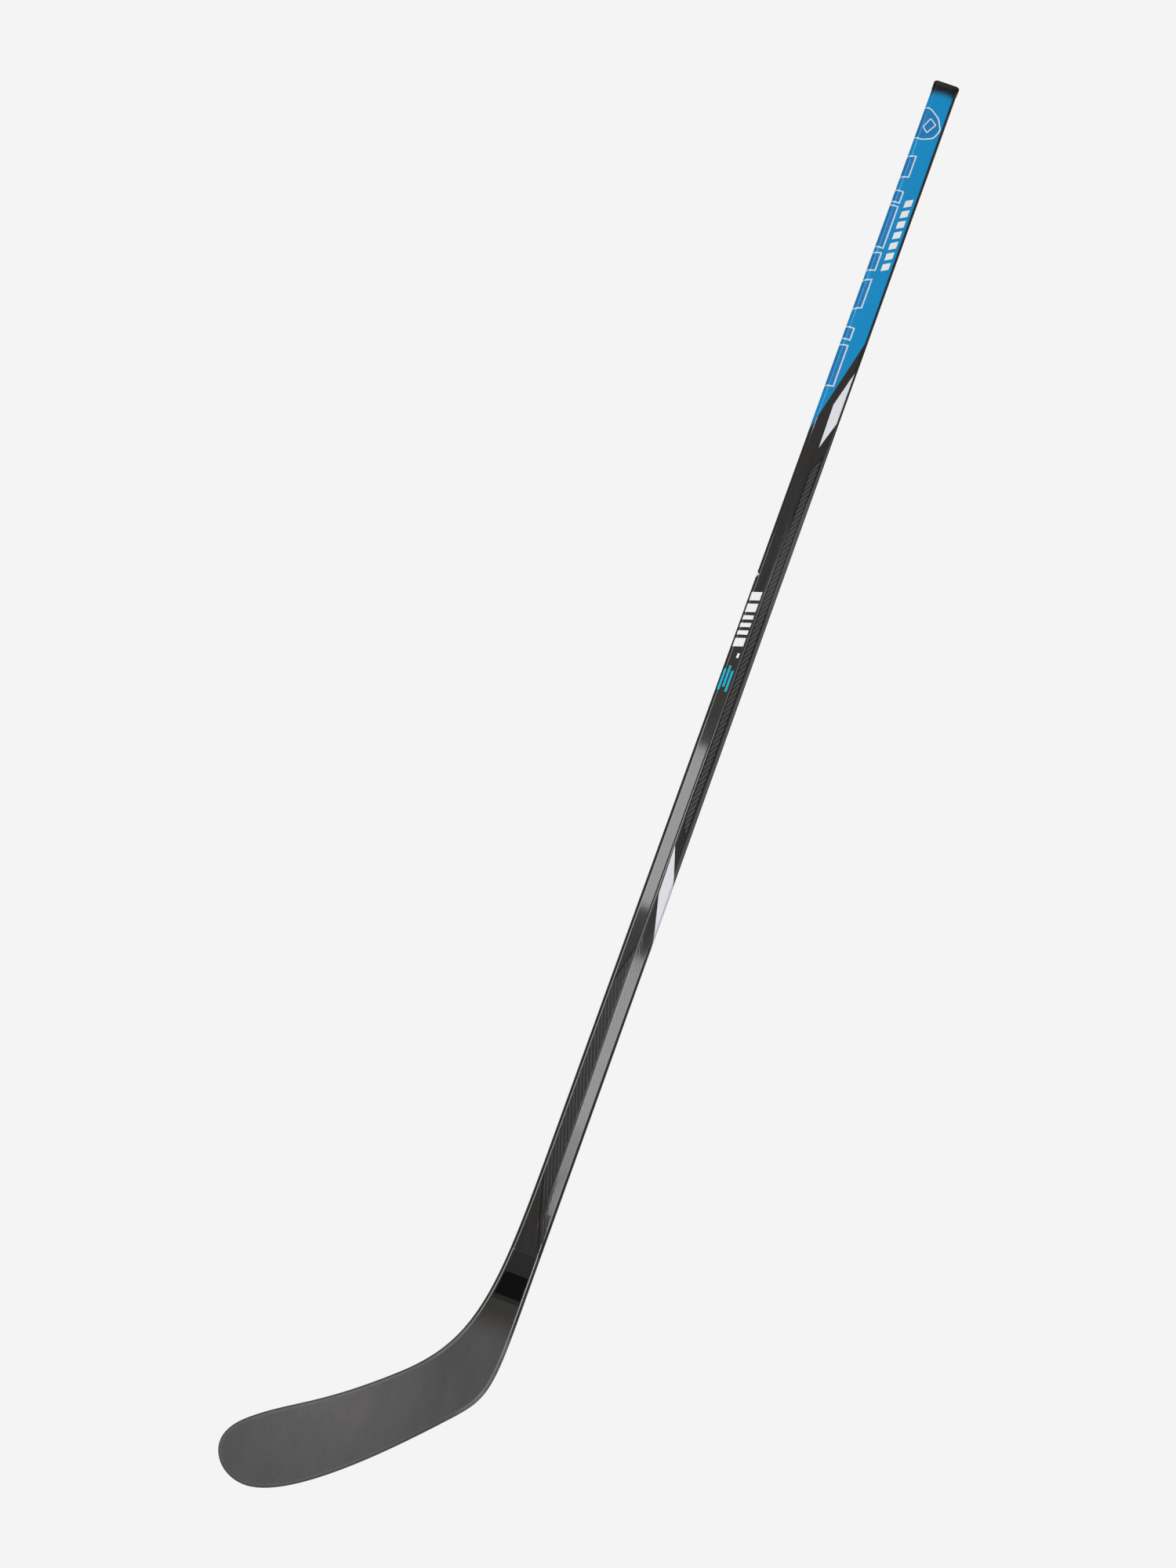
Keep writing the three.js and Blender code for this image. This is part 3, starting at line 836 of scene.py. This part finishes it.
def fill(outline):
    """Triangles over an unrolled shape, with enough inner points to follow the shaft's surface."""
    squash = 0.12  # makes the cells long down the shaft
    points = [tuple(p) for p in finely(outline, True, FILL_STEP)]
    ring = [(k, (k + 1) % len(points)) for k in range(len(points))]
    places = [d for d, _ in outline]
    heights = [z for _, z in outline]
    columns = max(1, math.ceil((max(places) - min(places)) / FILM_STEP))
    rows = max(1, math.ceil((max(heights) - min(heights)) / FILL_STEP))
    for z in spread(min(heights), max(heights), rows)[1:-1]:
        row = spread(min(places), max(places), columns)
        points += [(d, z) for d in row if inside((d, z), outline)]
    flat = [Vector((d, z * squash)) for d, z in points]
    found = delaunay_2d_cdt(flat, ring, [], 1, 1e-5)
    return [(p.x, p.y / squash) for p in found[0]], [tuple(triangle) for triangle in found[2]]


def filled(where, shapes):
    """Shapes of the front or back face, placed by on_front or on_back and filled."""
    return [fill(where(shape)) for shape in shapes]


def stroke(path, width, closed=True):
    """A line of even width along an unrolled path, as flat points and faces."""
    fine = finely(path, closed, STROKE_STEP)
    count = len(fine)
    points = []
    for k, p in enumerate(fine):
        before = fine[(k - 1) % count] if closed or k else p
        after = fine[(k + 1) % count] if closed or k < count - 1 else p
        ways = [w.normalized() for w in (p - before, after - p) if w.length > 1e-9]
        normals = [Vector((-w.y, w.x)) for w in ways]
        normal = sum(normals, Vector((0, 0))).normalized()
        reach = width / 2 / max(SHARPEST, normal.dot(normals[0]))
        points += [tuple(p - normal * reach), tuple(p + normal * reach)]
    faces = []
    for k in range(count if closed else count - 1):
        a, b = 2 * k, 2 * ((k + 1) % count)
        faces.append((a, b, b + 1, a + 1))
    return points, faces


def twice_area(polygon):
    """Twice the area of a flat polygon, below 0 if it runs clockwise."""
    return sum(x1 * z2 - x2 * z1 for (x1, z1), (x2, z2) in around(polygon))


def make_inlay(name, parts, material, lift):
    """One piece from flat parts (points and faces on the unrolled shaft), lifted off its surface."""
    points, faces = [], []
    for flat, cells in parts:
        cells = [c if twice_area([flat[v] for v in c]) > 0 else c[::-1] for c in cells]
        add_film(points, faces, flat, cells, lift)
    make_piece(name, points, faces, material)


# -------------------- the shaft's paint and marks

PAINT_RIGHT_X = 11.5  # the lacquer stops at this line on the right
PAINT_END_Z = (-268.0, -388.0)  # its lower end at the right and left edges


def paint_end(x):
    """Height of the lacquer's slanting lower end."""
    share = min(1, max(0, (PAINT_RIGHT_X - x) / (PAINT_RIGHT_X + HALF_WIDTH)))
    return mix(*PAINT_END_Z, share)


def make_lacquer():
    """The blue coat: front, left side and back in one film, cut off on a slant."""
    z0 = 0.0  # the grip's section is the same all the way down
    start = round_distance(PAINT_RIGHT_X, z0, -1)
    end = round_distance(PAINT_RIGHT_X, z0, 1) - perimeter(z0)
    columns = [start - k * FILM_STEP for k in range(math.ceil((start - end) / FILM_STEP))] + [end]
    rows = 60
    tops, bottoms = [], []
    for distance in columns:
        x = on_section(z0, distance)[0].x
        for z in spread(TUBE_TOP, paint_end(x), rows):
            tops.append(surface_point(distance, z, LACQUER_LIFT))
            bottoms.append(surface_point(distance, z, -EMBED))
    faces = slab_faces(len(columns), rows + 1)
    make_piece("blue_lacquer", tops + bottoms, faces, "lacquer")


def make_flashes():
    """The two silver flashes on the front, and the upper one again on the back."""
    side = HALF_WIDTH + 5  # over the edge and down the side
    first = [(11.9, -306), (11.9, -370), (2.3, -404), (1.5, -350)]
    second = [(side, -942), (side, -1011), (2.6, -931), (1.6, -877)]
    front = filled(on_front, [first, second])
    make_inlay("silver_flashes", front, "silver", FLASH_LIFT)
    make_inlay("silver_flash_back", filled(on_back, [first]), "silver", FLASH_LIFT)


def rounded_loop(polygon, radius, steps=5):
    """A polygon with rounded corners, as a closed path."""
    path = []
    count = len(polygon)
    for k in range(count):
        a, b, c = (Vector(polygon[(k + j - 1) % count]) for j in range(3))
        start = b + (a - b).normalized() * radius
        end = b + (c - b).normalized() * radius
        for share in spread(0, 1, steps):
            path.append(tuple(start.lerp(b, share).lerp(b.lerp(end, share), share)))
    return path


OUTLINE_X = -5.6  # how far onto both faces the outlined shapes reach

# Upper and lower end of each outlined shape on the front, and how much lower it lies on the back
OUTLINED = (
    (-27, -55, 10), (-75, -90, 0), (-95, -150, 0), (-156, -179, 10),
    (-191, -228, 16), (-255, -270, 0), (-277, -329, 6),
)


def make_large_outlines():
    """Plain outlines over a deeper blue that wrap over the left side, where the large lettering is."""
    badge = rounded_loop(round_left([(-8, 37), (4, 28), (10.4, 14), (6, 2), (-6, -4)]), 3.5)
    diamond = rounded_loop(on_front([(3.5, 19), (-4.5, 25), (-9.5, 12), (-3.5, 6)]), 1.2)
    boxes = [round_left([(OUTLINE_X, z1), (OUTLINE_X, z2)], drop) for z1, z2, drop in OUTLINED]
    shapes = [badge, *boxes]
    fills = [fill(shape) for shape in shapes]
    make_inlay("outline_fill", fills, "deep_blue", DEEP_BLUE_LIFT)
    lines = [stroke(shape, 1.6) for shape in shapes] + [stroke(diamond, 1.4)]
    make_inlay("outline_marks", lines, "outline", OUTLINE_LIFT)


BAR_TOP_Z = -80.0
BAR_HEIGHT = 9
BAR_GAP = 5


def make_slanted_bars():
    """A row of slanted bars where the stick has its small lettering, on the front and the back."""
    bars = []
    for k in range(7):
        z = BAR_TOP_Z - k * (BAR_HEIGHT + BAR_GAP)
        bars.append([(8.2, z), (0.4, z - 5), (0.4, z - 5 - BAR_HEIGHT), (8.2, z - BAR_HEIGHT)])
    for name, where in (("slanted_bars", on_front), ("slanted_bars_back", on_back)):
        make_inlay(name, filled(where, bars), "white", OUTLINE_LIFT)


CROSS_BARS = ((-583, -593), (-597, -607), (-611, -616), (-620, -625), (-629, -634), (-638, -648))
LONG_BARS = ((-12.7, -677, -701.5), (-8.7, -672, -697), (-4.7, -677, -701.5))


def make_facet_marks():
    """White cross bars with a dot and a wedge, and long cyan bars, on the left facet and on the back."""
    left, right = -12.7, -2.0
    edge = -HALF_WIDTH - 3
    white = [[(left, z1 - 3), (right, z1), (right, z2), (left, z2 - 3)] for z1, z2 in CROSS_BARS]
    dot = [(-5.0, -657), (-2.6, -656.5), (-2.6, -662), (-5.0, -662.5)]
    wedge = [(edge, -556), (-11.9, -564.5), (edge, -573)]
    cyan = [[(x, z1 - 0.7), (x + 2.3, z1), (x + 2.3, z2), (x, z2 - 0.7)] for x, z1, z2 in LONG_BARS]
    for name, where, shapes, material, slot in (
        ("facet_marks_white", on_front, [*white, dot, wedge], "white", "light_paint"),
        ("facet_marks_cyan", on_front, cyan, "cyan", "blue_paint"),
        ("facet_marks_back", on_back, white, "white", "light_paint"),
        ("facet_marks_back_cyan", on_back, cyan, "cyan", "blue_paint"),
    ):
        make_inlay(name, filled(where, shapes), material, MARK_LIFT)


def make_spine_inlay():
    """The long twill window on the right facet, with a dark line round it."""
    window = on_front([(2.1, -434), (9.9, -412), (9.4, -640), (8.9, -866), (3.8, -855), (1.9, -842)])
    make_inlay("spine_window", [fill(window)], "twill", WINDOW_LIFT)
    make_inlay("spine_window_line", [stroke(window, 0.9)], "line", MARK_LIFT)


def clip(polygon, region):
    """The part of a polygon inside a convex region."""
    if twice_area(region) < 0:
        region = region[::-1]
    for (x1, z1), (x2, z2) in around(region):
        kept = []
        for a, b in around(polygon):
            side_a = (x2 - x1) * (a[1] - z1) - (z2 - z1) * (a[0] - x1)
            side_b = (x2 - x1) * (b[1] - z1) - (z2 - z1) * (b[0] - x1)
            if side_a >= 0:
                kept.append(a)
            if side_a * side_b < 0:
                share = side_a / (side_a - side_b)
                kept.append((mix(a[0], b[0], share), mix(a[1], b[1], share)))
        polygon = kept
        if len(polygon) < 3:
            return []
    return polygon


PLY_SLOPE = 0.33  # sideways run of the ply lines for each mm down


def ply_bands(region, pitch, width):
    """Slanting bands of even width over a region."""
    bands = []
    top = max(z for _, z in region)
    bottom = min(z for _, z in region)
    reach = (top - bottom) * PLY_SLOPE
    across_step = pitch / math.cos(math.atan(PLY_SLOPE))
    x = min(x for x, _ in region) - reach
    while x < max(x for x, _ in region):
        band = [(x, top), (x + reach, bottom), (x + reach + width, bottom), (x + width, top)]
        kept = clip(band, region)
        if kept and abs(twice_area(kept)) > 2:
            bands.append(kept)
        x += across_step
    return bands


def make_ply_bands():
    """The slanting ply lines of the lower shaft, and the dark edge line where they end."""
    left = [(-11.2, -1032), (-11.2, -1233), (1.3, -1278), (-1.8, -990)]
    right = [(2.0, -978), (4.6, -1286), (10.6, -1309), (10.6, -1012)]
    make_inlay("ply_ground", filled(on_front, [left]), "ply_ground", PLY_GROUND_LIFT)
    for name, region, pitch, width, finish in (
        ("ply_bands_left", left, 3.3, 1.6, "ply"),
        ("ply_bands_right", right, 2.7, 1.1, "ply_gloss"),
    ):
        bands = filled(on_front, ply_bands(region, pitch, width))
        make_inlay(name, bands, finish, FLASH_LIFT)
    lines = [
        stroke(on_front([(-11.0, -1236), (0.0, -1279), (10.6, -1312)]), 1.2, closed=False),
        stroke(on_front([(-1.2, -991), (-10.6, -1030)]), 1.1, closed=False),
    ]
    make_inlay("ply_end_lines", lines, "line", MARK_LIFT)


# -------------------- the cap


def cap_ring(z, proud):
    """A rounded rectangle round the shaft's axis, standing out from the grip by proud."""
    half_x, half_y = HALF_WIDTH + proud, HALF_THICK + proud
    radius = max(0.6, CORNER_R + proud)
    ring = []
    for k, (sx, sy) in enumerate(((1, 1), (-1, 1), (-1, -1), (1, -1))):
        for turn in spread(0, math.pi / 2, ARC_STEPS):
            angle = k * math.pi / 2 + turn
            x = sx * (half_x - radius) + radius * math.cos(angle)
            y = sy * (half_y - radius) + radius * math.sin(angle)
            ring.append((x, y, z))
    return ring


CAP_DEPTH = 40  # how far the stub reaches into the tube
STUB = -(WALL + 2 * GAP + 0.5)  # the stub's side, in from the grip's
STUB_WALL = 1.8
STUB_RIBS = (50, 56, 62)  # heights of the three ribs that hold it in the tube
DISH_EDGE = -8.5  # the side of the top's flat middle, in from the grip's
TOP_THICK = 3.4


def cap_profile():
    """The cap's outside from the stub's lower end to its top, as heights and distances out of the grip."""
    z = TUBE_TOP + GAP  # underside of the flange
    low = z - CAP_DEPTH
    profile = [(low + 1, STUB - STUB_WALL), (low, STUB - 1.4), (low, STUB - 0.3), (low + 0.4, STUB)]
    snug = -(WALL + GAP)
    for rib_z in STUB_RIBS:
        profile += [(rib_z, STUB), (rib_z + 0.3, snug), (rib_z + 1.2, snug), (rib_z + 1.5, STUB)]
    profile += [(z - 0.1, STUB), (z, STUB + 0.2), (z, -0.2), (z + 0.1, 0.05), (z + 0.5, 0.15)]
    profile += [(z + 2.6, 0.12), (z + 3.2, 0.2), (z + 3.6, 0.5), (z + 4.2, CAP_PROUD)]
    profile += [(z + 5.0, CAP_PROUD), (z + 5.6, 0.4)]
    dish = [(0.08, -0.1), (0, -0.7), (0, -2.2), (0.3, -2.7), (0.8, -3.1), (1, -4), (1, -6.5), (1, DISH_EDGE)]
    return profile + [(BUTT_Z - depth, proud) for depth, proud in dish]


def make_cap():
    """The rubber cap: a flange with a small lip over the tube, a dished top and a hollow stub inside."""
    outside = [cap_ring(z, proud) for z, proud in cap_profile()]
    hollow_top = BUTT_Z - TOP_THICK
    hollow = [cap_ring(hollow_top, DISH_EDGE), cap_ring(hollow_top, STUB - STUB_WALL)]
    count = len(outside[0])
    start = len(outside) * count
    faces = tube_faces(len(outside), count)
    faces.append(tuple(start - count + j for j in range(count)))
    faces.append(tuple(start + j for j in range(count))[::-1])
    faces += tube_faces(len(hollow), count, start=start)
    faces += quads_between(start + count, 0, count)
    points = [p for ring in outside + hollow for p in ring]
    make_piece("butt_cap", points, faces, "rubber", ["end_cap"])


# -------------------- the blade


def make_blade_face(name, side, node):
    """One skin of the blade inside the edge braid."""
    path = inset_outline(EDGE_WIDTH - 0.1)
    places = [(rib, share) for rib in range(RIBS + 1) for share in spread(0, 1, ACROSS)]
    points = [face_point(path, *place, side, lift) for lift in (0, -SKIN) for place in places]
    faces = slab_faces(RIBS + 1, ACROSS + 1, flip=side < 0)
    make_piece(name, points, faces, "blade", [node])


def make_edge_braid():
    """The strip with a rounded outer side that runs all the way round the blade."""
    rings = []
    for k in range(len(border)):
        rib = rib_of(k)
        radius = edge_radius(rib)
        half = half_thickness(rib)
        reach = min(radius, EDGE_WIDTH - 0.3)
        profile = [(EDGE_WIDTH, half), ((EDGE_WIDTH + reach) / 2, half)]
        for turn in spread(0, math.pi / 2, 7):
            profile.append((reach * (1 - math.sin(turn)), half - radius + radius * math.cos(turn)))
        ring = []
        for side in (-1, 1):
            places = profile if side < 0 else profile[::-1]
            for depth, height in places:
                p = inset_outline(depth)[k]
                ring.append((p.x, middle_y(p) + side * height, p.y))
        rings.append(ring)
    count = len(rings[0])
    last = (len(rings) - 1) * count
    faces = tube_faces(len(rings), count, flip=True)
    faces.append(tuple(range(count)))
    faces.append(tuple(last + j for j in range(count))[::-1])
    points = [p for ring in rings for p in ring]
    make_piece("blade_edge_braid", points, faces, "edge", ["blade_edge_wrap"])


def rib_at(path, share, z):
    """The rib where a line along the hosel passes the height z."""
    return search(lambda rib: face_point(path, rib, share, -1, 0)[2] > z, 0.0, HOSEL_STEPS, 30)


HOSEL_INSET = EDGE_WIDTH + 0.6  # the bands stop just inside the edge braid
PATCH_TOP = -1339.0
PATCH_BOTTOM = -1362.0


def make_hosel_band(
    name, z_top, z_bottom, material="etch", lift=0.05, side=-1, replaces=()
):
    """A thin film across the hosel between two heights."""
    path = inset_outline(HOSEL_INSET)
    rows, columns = 10, 12
    shares = spread(0, 1, columns)
    places = [(rib_at(path, share, z), share) for z in spread(z_top, z_bottom, rows) for share in shares]
    points = [face_point(path, *place, side, out) for out in (lift, -EMBED) for place in places]
    faces = slab_faces(rows + 1, columns + 1, flip=side < 0)
    make_piece(name, points, faces, material, replaces)


def make_hosel_bands():
    """The black patch, the etched bands above and below it, and the one behind it."""
    make_hosel_band("etched_band_upper", -1317.0, PATCH_TOP)
    make_hosel_band("etched_band_lower", PATCH_BOTTOM, -1367.0)
    make_hosel_band(
        "front_patch", PATCH_TOP, PATCH_BOTTOM, "patch", 0.35, replaces=["hosel_patch"]
    )
    make_hosel_band("etched_band_back", -1325.0, -1358.0, side=1)


# -------------------- the pieces inside

INNER_MATERIALS = {
    "glue": ("cap_glue_sleeve", "tenon_glue_sleeve"),
    "foam": ("butt_foam_plug", "hosel_foam_plug", "blade_lower_core", "blade_upper_core"),
    "core": ("blade_tenon", "hosel_core", "blade_centre_rib", "toe_insert"),
}


def dress_inner_pieces():
    """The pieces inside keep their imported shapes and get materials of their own."""
    for finish, nodes in INNER_MATERIALS.items():
        for node in nodes:
            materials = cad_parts[node].data.materials
            materials.clear()
            materials.append(MATERIALS[finish])


# -------------------- camera, light and floor

CAMERA_PLACE = Vector((-0.0138, -2.0444, -1.3362))
CAMERA_YAW = math.radians(2.58)
CAMERA_PITCH = math.radians(13.5)
CAMERA_ROLL = math.radians(-20.48)
CAMERA_VIEW = math.radians(42.67)  # the frame's height


def make_camera():
    """The camera low in front of the stick, looking up and rolled so that the stick leans."""
    data = bpy.data.cameras.new("camera")
    data.sensor_width = 36
    data.lens = data.sensor_width / 2 / math.tan(CAMERA_VIEW / 2)
    camera = add_object("camera", data)
    level = Matrix.Rotation(math.pi / 2, 4, "X")
    turn = Matrix.Rotation(CAMERA_YAW, 4, "Z") @ Matrix.Rotation(CAMERA_PITCH, 4, "X") @ level
    roll = Matrix.Rotation(-CAMERA_ROLL, 4, "Z")
    camera.matrix_world = Matrix.Translation(CAMERA_PLACE) @ turn @ roll
    data.clip_start = 0.05
    data.clip_end = 50
    bpy.context.scene.camera = camera


LIGHT_DISTANCE = 2.2  # from the stick to the lights that it mirrors
UP = Vector((0, 0, 1))


def area_light(name, place, target, width, height, radiance, long_way=UP):
    """A rectangular light facing a target, with its height laid along long_way."""
    data = bpy.data.lights.new(name, "AREA")
    data.shape = "RECTANGLE"
    data.size = width
    data.size_y = height
    data.energy = radiance * math.pi * width * height
    light = add_object(name, data)
    back = (Vector(place) - Vector(target)).normalized()
    up = (long_way - back * long_way.dot(back)).normalized()
    side = up.cross(back)
    light.matrix_world = Matrix.Translation(place) @ Matrix((side, up, back)).transposed().to_4x4()
    return light


def mirror_light(name, x, z_range, degrees, width, radiance):
    """A light placed where the stick's surface, turned sideways by an angle, mirrors it to the camera."""
    turn = math.radians(degrees)
    normal = Vector((math.sin(turn), -math.cos(turn), 0))
    ends = []
    for z in z_range:
        point = Vector((x, -HALF_THICK, z)) * MM
        way = (point - CAMERA_PLACE).normalized()
        ends.append(point + way.reflect(normal) * LIGHT_DISTANCE)
    long_way = ends[0] - ends[1]
    target = Vector((x, -HALF_THICK, sum(z_range) / 2)) * MM
    middle = (ends[0] + ends[1]) / 2
    light = area_light(name, middle, target, width, long_way.length, radiance, long_way)
    light.visible_diffuse = False


def make_lights():
    """Strips that the glossy shaft mirrors, and two large soft lights in front and behind."""
    for name, x, z_range, turn, width, radiance in (
        ("left_facet_box", -6, (-768, -965), -9, 0.7, 7.2),
        ("right_facet_box", 6, (-1018, -1195), 9, 0.7, 7.2),
        ("lower_facet_box", 6, (-1195, -1245), 9, 0.7, 5.0),
        ("left_strip", -11, (-740, -1500), -17, 0.8, 6.5),
        ("ridge_strip", 1, (-545, -740), -17, 0.4, 6.5),
        ("right_strip", 11, (-1010, -1270), 17, 0.6, 6.0),
        ("hosel_strip", 11, (-1283, -1520), 10, 0.85, 7.0),
        ("right_band", 12, (-380, -985), 31, 3.6, 1.3),
        ("window_glow", 6, (-500, -600), 9, 1.0, 1.2),
        ("grip_strip", -10.4, (20, -380), -7, 0.6, 11.0),
    ):
        mirror_light(name, x, z_range, turn, width, radiance)
    target = (0, 0, -0.8)
    front = area_light("front_fill", (-0.8, -3.3, -0.7), target, 3.0, 3.0, 3.4)
    front.visible_glossy = False
    area_light("back_fill", (0.4, 3.4, 0.6), target, 2.6, 2.6, 2.0)


WORLD_SEEN = 0.905  # the pale backdrop
WORLD_LIGHT = 0.27  # the same backdrop as the stick mirrors it


def make_world():
    """A plain pale backdrop that lights the stick more gently than it shows."""
    world = bpy.data.worlds.new("studio")
    world.use_nodes = True
    bpy.context.scene.world = world
    world.node_tree.nodes.clear()
    mirrored, seen = (
        add_node(world, "ShaderNodeBackground", {"Color": (*grey(level), 1)}).outputs[0]
        for level in (WORLD_LIGHT, WORLD_SEEN)
    )
    to_camera = add_node(world, "ShaderNodeLightPath").outputs["Is Camera Ray"]
    chosen = add_node(world, "ShaderNodeMixShader", {0: to_camera, 1: mirrored, 2: seen}).outputs[0]
    add_node(world, "ShaderNodeOutputWorld", {"Surface": chosen})


FLOOR_Z = -2.5  # in metres, like the radius
FLOOR_RADIUS = 2.2


def make_floor():
    """A pale round floor well below the stick."""
    steps = 96
    turns = [2 * math.pi * k / steps for k in range(steps)]
    rim = [(FLOOR_RADIUS * math.cos(turn), FLOOR_RADIUS * math.sin(turn), FLOOR_Z) for turn in turns]
    faces = [(0, 1 + k, 1 + (k + 1) % steps) for k in range(steps)]
    mesh = bpy.data.meshes.new("floor")
    mesh.from_pydata([(0, 0, FLOOR_Z), *rim], [], faces)
    floor = add_object("floor", mesh)
    material = blank_material("floor_paper", grey(0.1), 0.9, specular=0.0, glow=0.8)
    material.node_tree.nodes["Principled BSDF"].inputs["Emission Color"].default_value = (1, 1, 1, 1)
    grain = noise(material, 40, (1, 1, 1), 4)
    feed(material, "Base Color", ramp(material, grain, greys(0.095, 0.105)))
    mesh.materials.append(material)


bpy.context.scene.view_settings.view_transform = "Standard"

make_camera()
make_world()
make_floor()
make_lights()
make_shaft()
make_lacquer()
make_flashes()
make_large_outlines()
make_slanted_bars()
make_facet_marks()
make_spine_inlay()
make_ply_bands()
make_cap()
make_blade_face("blade_face_front", -1, "blade_front_skin")
make_blade_face("blade_face_back", 1, "blade_back_skin")
make_edge_braid()
make_hosel_bands()
dress_inner_pieces()
